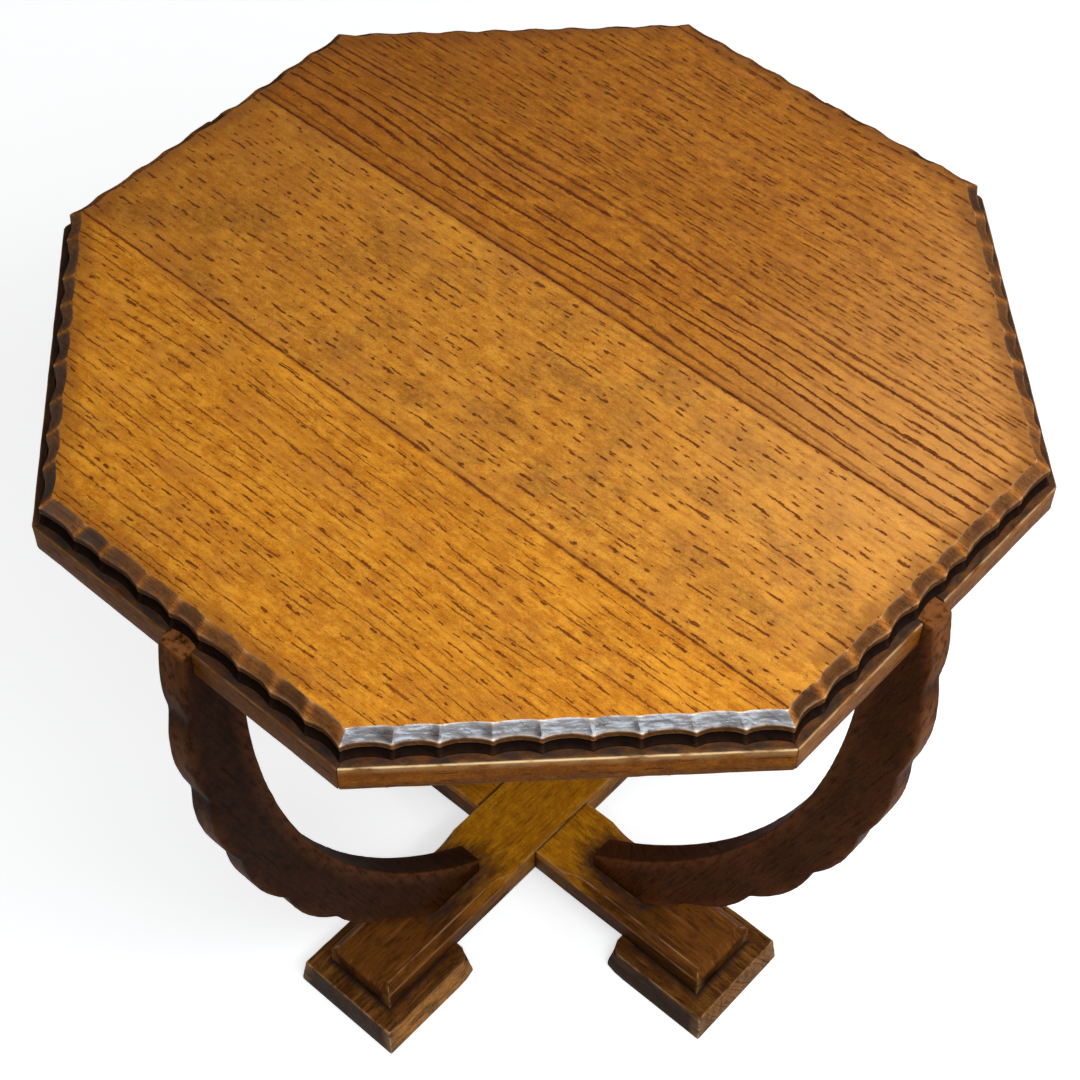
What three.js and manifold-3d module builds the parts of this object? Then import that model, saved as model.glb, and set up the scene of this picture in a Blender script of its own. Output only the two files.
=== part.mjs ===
// Small octagonal oak table: a three-board top with a gouged edge on a mitred frame, carried by
// four curved legs that stand on two crossed arms with square feet.
// Millimetres, +Z up. The origin is on the floor, under the middle of the table, +Y is the back.

import * as THREE from 'three';
import { ConvexGeometry } from 'three/addons/geometries/ConvexGeometry.js';
import { mergeVertices } from 'three/addons/utils/BufferGeometryUtils.js';
import Module from 'manifold-3d';

const wasm = await Module();
wasm.setup();

// ---------------------------------------------------------------- driving sizes

const TABLE_HEIGHT = 465;

const TOP_ACROSS = 457; // across the flats of the gouged edge
const TOP_THICKNESS = 14;
const FRONT_JOINT = -91; // glue lines of the top, from its middle towards the back right corner
const REAR_JOINT = 30;
const SCOOPS_PER_SIDE = 9;
const SCOOP_DEPTH = 2; // how far a scoop's middle stands back from its ridges
const TOP_SCOOP_DEPTH = 2.6; // the same where the scoops cut into the flat of the top
const BEVEL_WIDTH = 6.5;
const BEVEL_DEPTH = 4;
const EDGE_BAND = 4; // upright band below the bevel
const QUIRK_DEPTH = 1.2; // the narrow step back in below that band
const QUIRK_HEIGHT = 0.8;
const EDGE_FLARE = 1.2; // how far the foot of the edge stands out beyond the band

const FRAME_PROUD = 4.5; // how far the frame stands out beyond the top's edge
const RAIL_WIDTH = 45;
const RAIL_HEIGHT = 16;

const LEG_THICKNESS = 16;
const LEG_WIDTH = 35; // from the inner edge to the crests of the outer edge
const LEG_RADIUS = 459; // of the circle through those crests
const LEG_PROUD = 5; // how far the leg's top stands out of the frame
const LEG_LOBES = 6.4; // along the outer edge, with a crest at its middle and a part lobe at each end
const LEG_LOBE_DEPTH = 4;
const HEEL_REACH = 96; // from the middle of the table to where the outer edge lands on the arm
const TOE_FACE = 12; // height of the upright cut that ends the toe

const ARM_LENGTH = 306;
const ARM_WIDTH = 48;
const ARM_THICKNESS = 20;
const ARM_CHAMFER = 5;
const CHAMFER_STOP = 22; // plain edge left beside the crossing
const CHAMFER_RUN_OUT = 14; // length over which the chamfer comes to its full depth

const FOOT_BASE = 75;
const FOOT_TOP = 71;
const FOOT_HEIGHT = 21;
const FOOT_RIM = 4; // upright rim below the sloping sides
const FOOT_OVERHANG = 14; // how far the foot's base runs past the arm's end

const SCREW_RADIUS = 2;
const SCREW_HEAD_RADIUS = 4;
const SCREW_HEAD_DEPTH = 2.5;
const SCREW_POINT = 4;
const SCREW_SLOT_WIDTH = 1;
const SCREW_SLOT_DEPTH = 1;
const HEAD_SUNK = 0.5; // how far a screw's head lies below the wood's surface
const RAIL_SCREW_LENGTH = 22;
const RAIL_SCREW_OFFSET = 55; // from the middle of a rail
const LEG_SCREW_LENGTH = 32;
const TOE_SCREW_LENGTH = 38;
const FOOT_SCREW_LENGTH = 32;
const FOOT_SCREW_SPACING = 30;
const CROSSING_SCREW_LENGTH = 16;

const FIT_GAP = 0.3; // glue lines and joint clearances

const SCOOP_STEPS = 6; // straight steps in one scoop of the top
const LEG_STEPS = 8; // straight steps in one lobe of a leg, an even number
const ROUND_STEPS = 12; // sides of a screw

// The table's eight sides, counter-clockwise from +X. The legs stand at the corner sides.
const SIDES = ['right', 'back_right', 'back', 'back_left', 'left', 'front_left', 'front', 'front_right'];
const CORNERS = SIDES.filter((side) => side.includes('_'));

// ---------------------------------------------------------------- derived sizes

const QUARTER_TURN = Math.PI / 2;
const HALF_SIDE = Math.tan(Math.PI / SIDES.length); // half of a side's length, per unit of apothem

const EDGE_APOTHEM = TOP_ACROSS / 2;
const LEDGE_HEIGHT = TABLE_HEIGHT - TOP_THICKNESS; // underside of the top, on the frame
const FRAME_OUTER = EDGE_APOTHEM + FRAME_PROUD;
const FRAME_INNER = FRAME_OUTER - RAIL_WIDTH;
const RAIL_MIDDLE = (FRAME_OUTER + FRAME_INNER) / 2;
const RAIL_BOTTOM = LEDGE_HEIGHT - RAIL_HEIGHT;

const ARM_TOP = FOOT_HEIGHT + ARM_THICKNESS;
const HALVING_HEIGHT = FOOT_HEIGHT + ARM_THICKNESS / 2;
const FOOT_REACH = ARM_LENGTH / 2 + FOOT_OVERHANG - FOOT_BASE / 2; // middle of a foot

function facing(side) {
  return (SIDES.indexOf(side) * 2 * Math.PI) / SIDES.length;
}

// ---------------------------------------------------------------- materials

function wood(color, roughness) {
  return new THREE.MeshStandardMaterial({ color, roughness, metalness: 0 });
}

const topOak = wood(0xb4762c, 0.38);
const frameOak = wood(0x96641f, 0.42);
const legOak = wood(0x4a2e1a, 0.45);
const baseOak = wood(0x7a4f24, 0.45);
const screwSteel = new THREE.MeshStandardMaterial({ color: 0x6d6a64, roughness: 0.5, metalness: 0.9 });

// ---------------------------------------------------------------- shared tools

function toSolid(geometry) {
  const bare = geometry.clone();
  bare.deleteAttribute('normal');
  bare.deleteAttribute('uv');
  const merged = mergeVertices(bare, 1e-4);
  const vertProperties = new Float32Array(merged.attributes.position.array);
  const triVerts = new Uint32Array(merged.index.array);
  return new wasm.Manifold(new wasm.Mesh({ numProp: 3, vertProperties, triVerts }));
}

function toGeometry(solid) {
  const { vertProperties, triVerts } = solid.getMesh();
  const geometry = new THREE.BufferGeometry();
  geometry.setAttribute('position', new THREE.BufferAttribute(vertProperties, 3));
  geometry.setIndex(new THREE.BufferAttribute(triVerts, 1));
  geometry.computeVertexNormals();
  return geometry;
}

function cutAway(geometry, cutters) {
  const solid = cutters.reduce((rest, cutter) => rest.subtract(toSolid(cutter)), toSolid(geometry));
  return toGeometry(solid);
}

function piece(name, geometry, material) {
  const mesh = new THREE.Mesh(geometry, material);
  mesh.name = name;
  return mesh;
}

// A block whose underside has its middle at (x, y, z).
function block(length, width, height, x, y, z) {
  return new THREE.BoxGeometry(length, width, height).translate(x, y, z + height / 2);
}

// A group turned about the table's middle, so that its +X runs out towards that side.
function turnedTo(side, pieces) {
  const group = new THREE.Group();
  group.rotation.z = facing(side);
  group.add(...pieces);
  return group;
}

// ---------------------------------------------------------------- screws

// A screw is turned on +Z: its head's flat face is at the origin and its point is up.
function turned(profile) {
  const points = profile.map(([radius, height]) => new THREE.Vector2(radius, height));
  return new THREE.LatheGeometry(points, ROUND_STEPS).rotateX(QUARTER_TURN);
}

function screw(name, length) {
  const body = turned([
    [0, 0],
    [SCREW_HEAD_RADIUS, 0],
    [SCREW_RADIUS, SCREW_HEAD_DEPTH],
    [SCREW_RADIUS, length - SCREW_POINT],
    [0, length],
  ]);
  const slotLength = 3 * SCREW_HEAD_RADIUS;
  const slot = block(slotLength, SCREW_SLOT_WIDTH, 2 * SCREW_SLOT_DEPTH, 0, 0, -SCREW_SLOT_DEPTH);
  return piece(name, cutAway(body, [slot]), screwSteel);
}

// The hole for such a screw, open at the wood's surface.
function screwHole(length) {
  const mouth = SCREW_HEAD_RADIUS + FIT_GAP;
  const bore = SCREW_RADIUS + FIT_GAP;
  return turned([
    [0, -2 * HEAD_SUNK],
    [mouth, -2 * HEAD_SUNK],
    [mouth, 0],
    [bore, SCREW_HEAD_DEPTH + FIT_GAP],
    [bore, length - SCREW_POINT + FIT_GAP],
    [0, length + 2 * FIT_GAP],
  ]);
}

// ---------------------------------------------------------------- top

// An octagon whose sides are rows of shallow scoops between ridges.
function scoopedOctagon(apothem, depth = SCOOP_DEPTH) {
  const steps = SCOOPS_PER_SIDE * SCOOP_STEPS;
  const half = apothem * HALF_SIDE;
  const points = [];
  for (const side of SIDES) {
    for (let step = 0; step < steps; step += 1) {
      const across = (step % SCOOP_STEPS) / SCOOP_STEPS;
      const out = apothem - 4 * depth * across * (1 - across);
      const along = half * ((2 * step) / steps - 1);
      points.push(new THREE.Vector2(out, along).rotateAround(new THREE.Vector2(), facing(side)));
    }
  }
  return points;
}

// A closed block through outlines of equal length, given from the lowest to the highest.
function stacked(rings) {
  const count = rings[0].outline.length;
  const last = (rings.length - 1) * count;
  const positions = rings.flatMap(({ outline, z }) => outline.flatMap(({ x, y }) => [x, y, z]));
  const index = [];
  for (let ring = 0; ring < last; ring += count) {
    for (let k = 0; k < count; k += 1) {
      const here = ring + k;
      const next = ring + ((k + 1) % count);
      index.push(here, next, next + count);
      index.push(here, next + count, here + count);
    }
  }
  for (const [a, b, c] of THREE.ShapeUtils.triangulateShape(rings[0].outline, [])) {
    index.push(a, c, b);
  }
  for (const [a, b, c] of THREE.ShapeUtils.triangulateShape(rings.at(-1).outline, [])) {
    index.push(last + a, last + b, last + c);
  }
  const geometry = new THREE.BufferGeometry();
  geometry.setAttribute('position', new THREE.Float32BufferAttribute(positions, 3));
  geometry.setIndex(index);
  return geometry;
}

function topBlank() {
  const edge = scoopedOctagon(EDGE_APOTHEM);
  const bandTop = TABLE_HEIGHT - BEVEL_DEPTH;
  const bandBottom = bandTop - EDGE_BAND;
  return stacked([
    { outline: scoopedOctagon(EDGE_APOTHEM + EDGE_FLARE), z: LEDGE_HEIGHT },
    { outline: scoopedOctagon(EDGE_APOTHEM - QUIRK_DEPTH), z: bandBottom - QUIRK_HEIGHT },
    { outline: edge, z: bandBottom },
    { outline: edge, z: bandTop },
    { outline: scoopedOctagon(EDGE_APOTHEM - BEVEL_WIDTH, TOP_SCOOP_DEPTH), z: TABLE_HEIGHT },
  ]);
}

// The three boards lie side by side, with their length from the back left to the front right.
function topBoards() {
  const holes = SIDES.flatMap((side) => railScrewHoles().map((hole) => hole.rotateZ(facing(side))));
  const blank = toSolid(cutAway(topBlank(), holes));
  const edges = [-TOP_ACROSS, FRONT_JOINT, REAR_JOINT, TOP_ACROSS];
  return ['front', 'middle', 'rear'].map((name, k) => {
    const width = edges[k + 1] - edges[k] - FIT_GAP;
    const middle = (edges[k + 1] + edges[k]) / 2;
    const slab = block(width, 2 * TOP_ACROSS, 3 * TOP_THICKNESS, middle, 0, LEDGE_HEIGHT - TOP_THICKNESS);
    const board = blank.intersect(toSolid(slab.rotateZ(facing('back_right'))));
    return piece(`top_board_${name}`, toGeometry(board), topOak);
  });
}

// ---------------------------------------------------------------- frame

function railScrewHoles() {
  return [-RAIL_SCREW_OFFSET, RAIL_SCREW_OFFSET].map((along) => (
    screwHole(RAIL_SCREW_LENGTH).translate(RAIL_MIDDLE, along, RAIL_BOTTOM + HEAD_SUNK)));
}

// A rail's outline, with its mitres, and the open slot that a leg's top sits in.
function railOutline(hasLeg) {
  const trim = FIT_GAP / 2 / Math.cos(Math.PI / SIDES.length);
  const outerHalf = FRAME_OUTER * HALF_SIDE - trim;
  const innerHalf = FRAME_INNER * HALF_SIDE - trim;
  const slotHalf = LEG_THICKNESS / 2 + FIT_GAP;
  const slotEnd = LEG_INNER_TOP - FIT_GAP;
  const shape = new THREE.Shape();
  shape.moveTo(FRAME_INNER, -innerHalf);
  shape.lineTo(FRAME_OUTER, -outerHalf);
  if (hasLeg) {
    shape.lineTo(FRAME_OUTER, -slotHalf);
    shape.lineTo(slotEnd, -slotHalf);
    shape.lineTo(slotEnd, slotHalf);
    shape.lineTo(FRAME_OUTER, slotHalf);
  }
  shape.lineTo(FRAME_OUTER, outerHalf);
  shape.lineTo(FRAME_INNER, innerHalf);
  return shape;
}

function rail(side) {
  const hasLeg = CORNERS.includes(side);
  const blank = new THREE.ExtrudeGeometry(railOutline(hasLeg), { depth: RAIL_HEIGHT, bevelEnabled: false });
  blank.translate(0, 0, RAIL_BOTTOM);
  const holes = railScrewHoles();
  if (hasLeg) {
    holes.push(legScrewHole());
  }
  return piece(`rail_${side}`, cutAway(blank, holes), frameOak);
}

function railScrews(side) {
  return ['a', 'b'].map((letter, k) => {
    const item = screw(`screw_rail_${side}_${letter}`, RAIL_SCREW_LENGTH);
    item.position.set(RAIL_MIDDLE, (2 * k - 1) * RAIL_SCREW_OFFSET, RAIL_BOTTOM + HEAD_SUNK);
    return item;
  });
}

// ---------------------------------------------------------------- legs

// A leg is drawn in its own upright plane: x runs out from the middle of the table and y is up.
// The crests of its outer edge lie on one circle through its top outer corner and its heel.
const LEG_TOP = new THREE.Vector2(FRAME_OUTER + LEG_PROUD, LEDGE_HEIGHT);
const LEG_HEEL = new THREE.Vector2(HEEL_REACH, ARM_TOP);
const LEG_CENTRE = circleCentre(LEG_TOP, LEG_HEEL, LEG_RADIUS);
const LEG_INNER_RADIUS = LEG_RADIUS - LEG_WIDTH;
const LEG_INNER_TOP = innerReach(LEDGE_HEIGHT);
const TOE_REACH = innerReach(ARM_TOP + TOE_FACE);
const TOE_MIDDLE = (TOE_REACH + HEEL_REACH) / 2;

// The centre of the circle through two points that lies on the left of the way from a to b.
function circleCentre(b, a, radius) {
  const chord = b.clone().sub(a);
  const left = new THREE.Vector2(-chord.y, chord.x).normalize();
  const back = Math.sqrt(radius ** 2 - chord.lengthSq() / 4);
  return a.clone().add(b).multiplyScalar(0.5).addScaledVector(left, back);
}

// How far out the leg's inner edge is at a height.
function innerReach(height) {
  return LEG_CENTRE.x + Math.sqrt(LEG_INNER_RADIUS ** 2 - (height - LEG_CENTRE.y) ** 2);
}

function legAngle(x, y) {
  return Math.atan2(y - LEG_CENTRE.y, x - LEG_CENTRE.x);
}

function onLegCircle(radius, angle) {
  return new THREE.Vector2(Math.cos(angle), Math.sin(angle)).multiplyScalar(radius).add(LEG_CENTRE);
}

// The outer edge bulges in rounded lobes that meet in notches.
function legOutline() {
  const topAngle = legAngle(LEG_TOP.x, LEG_TOP.y);
  const heelAngle = legAngle(LEG_HEEL.x, LEG_HEEL.y);
  const middle = (topAngle + heelAngle) / 2;
  const pitch = (topAngle - heelAngle) / LEG_LOBES;
  const lastStep = Math.ceil((LEG_LOBES * LEG_STEPS) / 2) - 1;
  const shape = new THREE.Shape();
  shape.moveTo(TOE_REACH, ARM_TOP);
  shape.lineTo(LEG_HEEL.x, LEG_HEEL.y);
  for (let step = -lastStep; step <= lastStep; step += 1) {
    const lobes = step / LEG_STEPS;
    const fromCrest = 2 * (lobes - Math.round(lobes));
    const point = onLegCircle(LEG_RADIUS - LEG_LOBE_DEPTH * fromCrest ** 2, middle + lobes * pitch);
    shape.lineTo(point.x, point.y);
  }
  shape.lineTo(LEG_TOP.x, LEG_TOP.y);
  const innerStart = legAngle(LEG_INNER_TOP, LEDGE_HEIGHT);
  const innerEnd = legAngle(TOE_REACH, ARM_TOP + TOE_FACE);
  shape.absarc(LEG_CENTRE.x, LEG_CENTRE.y, LEG_INNER_RADIUS, innerStart, innerEnd, true);
  return shape;
}

// The screw through the frame into the leg's top, and the one through the arm into its toe.
const LEG_SCREW_PLACE = [FRAME_INNER + HEAD_SUNK, 0, RAIL_BOTTOM + RAIL_HEIGHT / 2];
const TOE_SCREW_PLACE = [TOE_MIDDLE, 0, FOOT_HEIGHT + HEAD_SUNK];

function legScrewHole() {
  return screwHole(LEG_SCREW_LENGTH).rotateY(QUARTER_TURN).translate(...LEG_SCREW_PLACE);
}

function toeScrewHole() {
  return screwHole(TOE_SCREW_LENGTH).translate(...TOE_SCREW_PLACE);
}

function leg(corner) {
  const settings = { depth: LEG_THICKNESS, bevelEnabled: false, curveSegments: LEG_STEPS };
  const blank = new THREE.ExtrudeGeometry(legOutline(), settings);
  blank.translate(0, 0, -LEG_THICKNESS / 2).rotateX(QUARTER_TURN);
  return piece(`leg_${corner}`, cutAway(blank, [legScrewHole(), toeScrewHole()]), legOak);
}

function legScrews(corner) {
  const upper = screw(`screw_leg_${corner}`, LEG_SCREW_LENGTH);
  upper.rotation.y = QUARTER_TURN;
  upper.position.set(...LEG_SCREW_PLACE);
  const lower = screw(`screw_toe_${corner}`, TOE_SCREW_LENGTH);
  lower.position.set(...TOE_SCREW_PLACE);
  return [upper, lower];
}

// ---------------------------------------------------------------- base

// The cutter for one long top edge of an arm's +X half. Its depth swells from nothing at the stop.
function edgeChamfer(sideSign) {
  const depth = ARM_CHAMFER * Math.SQRT1_2;
  const start = ARM_WIDTH / 2 + CHAMFER_STOP;
  const full = start + CHAMFER_RUN_OUT;
  const beyond = ARM_LENGTH / 2 + ARM_CHAMFER;
  const shape = new THREE.Shape();
  shape.moveTo(start, ARM_CHAMFER);
  shape.lineTo(start, 0);
  shape.quadraticCurveTo((start + full) / 2, -depth, full, -depth);
  shape.lineTo(beyond, -depth);
  shape.lineTo(beyond, ARM_CHAMFER);
  const cutter = new THREE.ExtrudeGeometry(shape, { depth: 4 * ARM_CHAMFER, bevelEnabled: false });
  cutter.translate(0, 0, -2 * ARM_CHAMFER).rotateX(QUARTER_TURN - (sideSign * Math.PI) / 4);
  return cutter.translate(0, (sideSign * ARM_WIDTH) / 2, ARM_TOP);
}

function endChamfer() {
  const cutter = block(4 * ARM_CHAMFER, 2 * ARM_WIDTH, ARM_CHAMFER, 0, 0, -ARM_CHAMFER * Math.SQRT1_2);
  return cutter.rotateY(Math.PI / 4).translate(ARM_LENGTH / 2, 0, ARM_TOP);
}

function footScrewHoles() {
  return [-FOOT_SCREW_SPACING / 2, FOOT_SCREW_SPACING / 2].map((offset) => (
    screwHole(FOOT_SCREW_LENGTH).translate(FOOT_REACH + offset, 0, HEAD_SUNK)));
}

function crossingScrewHole() {
  return screwHole(CROSSING_SCREW_LENGTH).translate(0, 0, FOOT_HEIGHT + HEAD_SUNK);
}

// Both arms are halved where they cross. The housing is a cut in the arm's own lower or upper half.
function arm(name, housingBottom) {
  const halfCutters = () => [
    edgeChamfer(1), edgeChamfer(-1), endChamfer(), toeScrewHole(), ...footScrewHoles(),
  ];
  const housingWidth = ARM_WIDTH + 2 * FIT_GAP;
  const cutters = [
    ...halfCutters(),
    ...halfCutters().map((cutter) => cutter.rotateZ(Math.PI)),
    block(housingWidth, 2 * ARM_WIDTH, ARM_THICKNESS, 0, 0, housingBottom),
    crossingScrewHole(),
  ];
  const blank = block(ARM_LENGTH, ARM_WIDTH, ARM_THICKNESS, 0, 0, FOOT_HEIGHT);
  return piece(name, cutAway(blank, cutters), baseOak);
}

// A square block with an upright rim and sides that slope in to its top.
function foot(corner) {
  const points = [[FOOT_BASE, 0], [FOOT_BASE, FOOT_RIM], [FOOT_TOP, FOOT_HEIGHT]].flatMap(([width, z]) => (
    [[1, 1], [-1, 1], [-1, -1], [1, -1]].map(([x, y]) => (
      new THREE.Vector3(FOOT_REACH + (x * width) / 2, (y * width) / 2, z)))));
  return piece(`foot_${corner}`, cutAway(new ConvexGeometry(points), footScrewHoles()), baseOak);
}

function footScrews(corner) {
  return ['inner', 'outer'].map((end, k) => {
    const item = screw(`screw_foot_${corner}_${end}`, FOOT_SCREW_LENGTH);
    item.position.set(FOOT_REACH + (k - 0.5) * FOOT_SCREW_SPACING, 0, HEAD_SUNK);
    return item;
  });
}

function crossingScrew() {
  const item = screw('screw_crossing', CROSSING_SCREW_LENGTH);
  item.position.set(0, 0, FOOT_HEIGHT + HEAD_SUNK);
  return item;
}

// ---------------------------------------------------------------- the table

const table = new THREE.Group();
table.add(...topBoards());
for (const side of SIDES) {
  table.add(turnedTo(side, [rail(side), ...railScrews(side)]));
}
for (const corner of CORNERS) {
  table.add(turnedTo(corner, [leg(corner), ...legScrews(corner), foot(corner), ...footScrews(corner)]));
}
table.add(turnedTo('back_right', [arm('arm_upper', HALVING_HEIGHT - ARM_THICKNESS)]));
table.add(turnedTo('back_left', [arm('arm_lower', HALVING_HEIGHT)]));
table.add(crossingScrew());

export default table;
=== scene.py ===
import functools
from math import atan2, copysign, cos, log, pi, radians, sin, sqrt, tan, tau

import bmesh
import bpy
import numpy as np
from mathutils import Matrix, Vector


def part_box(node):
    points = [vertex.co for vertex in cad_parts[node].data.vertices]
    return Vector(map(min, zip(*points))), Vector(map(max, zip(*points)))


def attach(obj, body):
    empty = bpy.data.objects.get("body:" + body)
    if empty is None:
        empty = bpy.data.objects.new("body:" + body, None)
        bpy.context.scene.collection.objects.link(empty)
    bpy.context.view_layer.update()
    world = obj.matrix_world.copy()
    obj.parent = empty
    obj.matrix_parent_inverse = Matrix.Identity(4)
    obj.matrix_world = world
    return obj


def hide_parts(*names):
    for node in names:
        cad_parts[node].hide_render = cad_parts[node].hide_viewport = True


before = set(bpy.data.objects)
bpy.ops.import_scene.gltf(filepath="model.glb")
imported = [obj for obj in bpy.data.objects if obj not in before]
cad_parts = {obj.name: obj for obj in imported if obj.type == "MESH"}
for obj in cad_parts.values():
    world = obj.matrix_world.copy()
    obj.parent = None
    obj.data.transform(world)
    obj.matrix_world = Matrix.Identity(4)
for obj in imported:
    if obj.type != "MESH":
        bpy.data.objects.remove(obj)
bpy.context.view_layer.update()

# -------- sizes, in metres

MM = 0.001
SIDES = ["right", "back_right", "back", "back_left", "left", "front_left", "front", "front_right"]
CORNERS = [side for side in SIDES if "_" in side]
HALF_SIDE = tan(pi / 8)  # half of a side's length, per unit of apothem

board_low, board_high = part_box("top_board_front")
rail_low, rail_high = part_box("rail_front")
arm_low, arm_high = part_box("arm_upper")
EDGE_FLARE = 1.2 * MM
EDGE = -board_low.y - EDGE_FLARE  # apothem of the gouged edge
TOP_Z = board_high.z
LEDGE_Z = board_low.z
FRAME_OUTER = -rail_low.y
FRAME_INNER = -rail_high.y
RAIL_Z = rail_low.z
ARM_Z = arm_low.z
ARM_TOP = arm_high.z

FRONT_JOINT, REAR_JOINT = -91 * MM, 30 * MM  # across the grain, from the middle
BOARDS = {"front": (None, FRONT_JOINT), "middle": (FRONT_JOINT, REAR_JOINT), "rear": (REAR_JOINT, None)}
BOARD_GRAIN = radians(-45)
SCOOPS = 9
LEG_THICKNESS = 16 * MM
LEG_WIDTH = 35 * MM
LEG_RADIUS = 459 * MM
LEG_PROUD = 5 * MM
LEG_LOBES = 6.4
LEG_LOBE_DEPTH = 4 * MM
HEEL_REACH = 96 * MM
TOE_FACE = 12 * MM
ARM_LENGTH = 306 * MM
ARM_WIDTH = 48 * MM
ARM_CHAMFER = 5 * MM
CHAMFER_STOP = 22 * MM
CHAMFER_RUN_OUT = 14 * MM
FOOT_BASE = 75 * MM
FOOT_TOP = 71 * MM
FOOT_RIM = 4 * MM
FOOT_REACH = 129.5 * MM
FIT_GAP = 0.3 * MM
HEAD_RADIUS, HEAD_DEPTH, BORE_RADIUS = 4.3 * MM, 2.8 * MM, 2.3 * MM
HEAD_INSET = 0.5 * MM
RAIL_SCREW, LEG_SCREW, BASE_SCREW = 14 * MM, 13 * MM, 15 * MM
RAIL_SCREW_REACH, FOOT_SCREW_REACH = 55 * MM, 15 * MM
LEG_SCREW_RISE = 8 * MM


def facing(side):
    return tau * SIDES.index(side) / 8


# -------- mesh tools


def ripple(points, wavelength, seed):
    """Smooth noise of about unit size, the same on each run."""
    waves = 7
    rng = np.random.default_rng(seed)
    total = np.zeros(len(points))
    for _ in range(waves):
        direction = rng.normal(size=3)
        direction *= tau / wavelength / np.linalg.norm(direction) * rng.uniform(0.6, 1.5)
        total += np.sin(points @ direction + rng.uniform(0, tau))
    return total / sqrt(waves / 2)


def lofted(rings):
    """Vertices and faces of a closed body through rings of equal length, capped at both ends."""
    count = len(rings[0])
    points = np.concatenate([np.asarray(ring, float) for ring in rings])
    faces = []
    for r in range(len(rings) - 1):
        a = r * count
        for k in range(count):
            n = (k + 1) % count
            faces.append((a + k, a + n, a + count + n, a + count + k))
    last = (len(rings) - 1) * count
    faces.append(tuple(reversed(range(count))))
    faces.append(tuple(range(last, last + count)))
    return points, faces


def linked(name, data):
    obj = bpy.data.objects.new(name, data)
    bpy.context.collection.objects.link(obj)
    return obj


def solid(name, points, faces):
    mesh = bpy.data.meshes.new(name)
    mesh.from_pydata([tuple(p) for p in points], [], faces)
    bm = bmesh.new()
    bm.from_mesh(mesh)
    bmesh.ops.recalc_face_normals(bm, faces=bm.faces)
    bm.to_mesh(mesh)
    bm.free()
    return linked(name, mesh)


def positions(obj):
    co = np.zeros(len(obj.data.vertices) * 3)
    obj.data.vertices.foreach_get("co", co)
    return co.reshape(-1, 3)


def store(obj, name, values):
    values = np.asarray(values, float)
    kind = "FLOAT" if values.ndim == 1 else "FLOAT_VECTOR"
    layer = obj.data.attributes.get(name) or obj.data.attributes.new(name, kind, "POINT")
    layer.data.foreach_set("value" if values.ndim == 1 else "vector", values.ravel())


def turned(points, angle):
    c, s = cos(angle), sin(angle)
    x, y, z = points.T
    return np.column_stack([x * c - y * s, x * s + y * c, z])


def cut(obj, cutters):
    """Subtracts the cutter objects and removes them, then mends the slivers that the cuts leave."""
    weld, sliver = 0.01 * MM, 0.005 * MM
    for cutter in cutters:
        modifier = obj.modifiers.new("cut", "BOOLEAN")
        modifier.operation = "DIFFERENCE"
        modifier.solver = "EXACT"
        modifier.object = cutter
    bpy.context.view_layer.update()
    evaluated = obj.evaluated_get(bpy.context.evaluated_depsgraph_get())
    mesh = bpy.data.meshes.new_from_object(evaluated)
    bm = bmesh.new()
    bm.from_mesh(mesh)
    bmesh.ops.remove_doubles(bm, verts=bm.verts, dist=weld)
    bmesh.ops.dissolve_degenerate(bm, edges=bm.edges, dist=sliver)
    many_sided = [face for face in bm.faces if len(face.verts) > 4]
    bmesh.ops.triangulate(bm, faces=many_sided, ngon_method="BEAUTY")
    bmesh.ops.dissolve_degenerate(bm, edges=bm.edges, dist=sliver)
    bmesh.ops.holes_fill(bm, edges=[edge for edge in bm.edges if edge.is_boundary])
    bmesh.ops.recalc_face_normals(bm, faces=bm.faces)
    bm.to_mesh(mesh)
    bm.free()
    obj.modifiers.clear()
    obj.data = mesh
    for cutter in cutters:
        bpy.data.objects.remove(cutter)
    return obj


def smooth(obj, angle):
    """Smooth shading, with edges sharper than the angle kept crisp."""
    mesh = obj.data
    mesh.shade_smooth()
    bm = bmesh.new()
    bm.from_mesh(mesh)
    for edge in bm.edges:
        faces = edge.link_faces
        edge.smooth = len(faces) == 2 and faces[0].normal.angle(faces[1].normal, 0) < radians(angle)
    bm.to_mesh(mesh)
    bm.free()


def circle(radius, height, sides):
    angles = np.arange(sides) * tau / sides
    return np.column_stack([radius * np.cos(angles), radius * np.sin(angles), np.full(sides, height)])


def screw_cutter(matrix, length):
    """The hole for one screw along +Z, whose head starts at the origin."""
    profile = [(HEAD_RADIUS, -1 * MM), (HEAD_RADIUS, 0), (BORE_RADIUS, HEAD_DEPTH), (BORE_RADIUS, length)]
    obj = solid("hole", *lofted([circle(radius, height, 20) for radius, height in profile]))
    obj.data.transform(matrix)
    return obj


def hole_up(x, y, bottom, length, angle=0.0):
    """The hole for a screw driven up into a piece whose underside is at bottom."""
    place = Matrix.Translation((x, y, bottom + HEAD_INSET))
    return screw_cutter(Matrix.Rotation(angle, 4, "Z") @ place, length)


def box_cutter(x, y, z, angle):
    """A box between the pairs of limits x, y and z, turned about the table's axis."""
    corners = [(x[0], y[0]), (x[1], y[0]), (x[1], y[1]), (x[0], y[1])]
    points, faces = lofted([np.array([(a, b, level) for a, b in corners]) for level in z])
    return solid("box", turned(points, angle), faces)


# -------- the top


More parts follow.
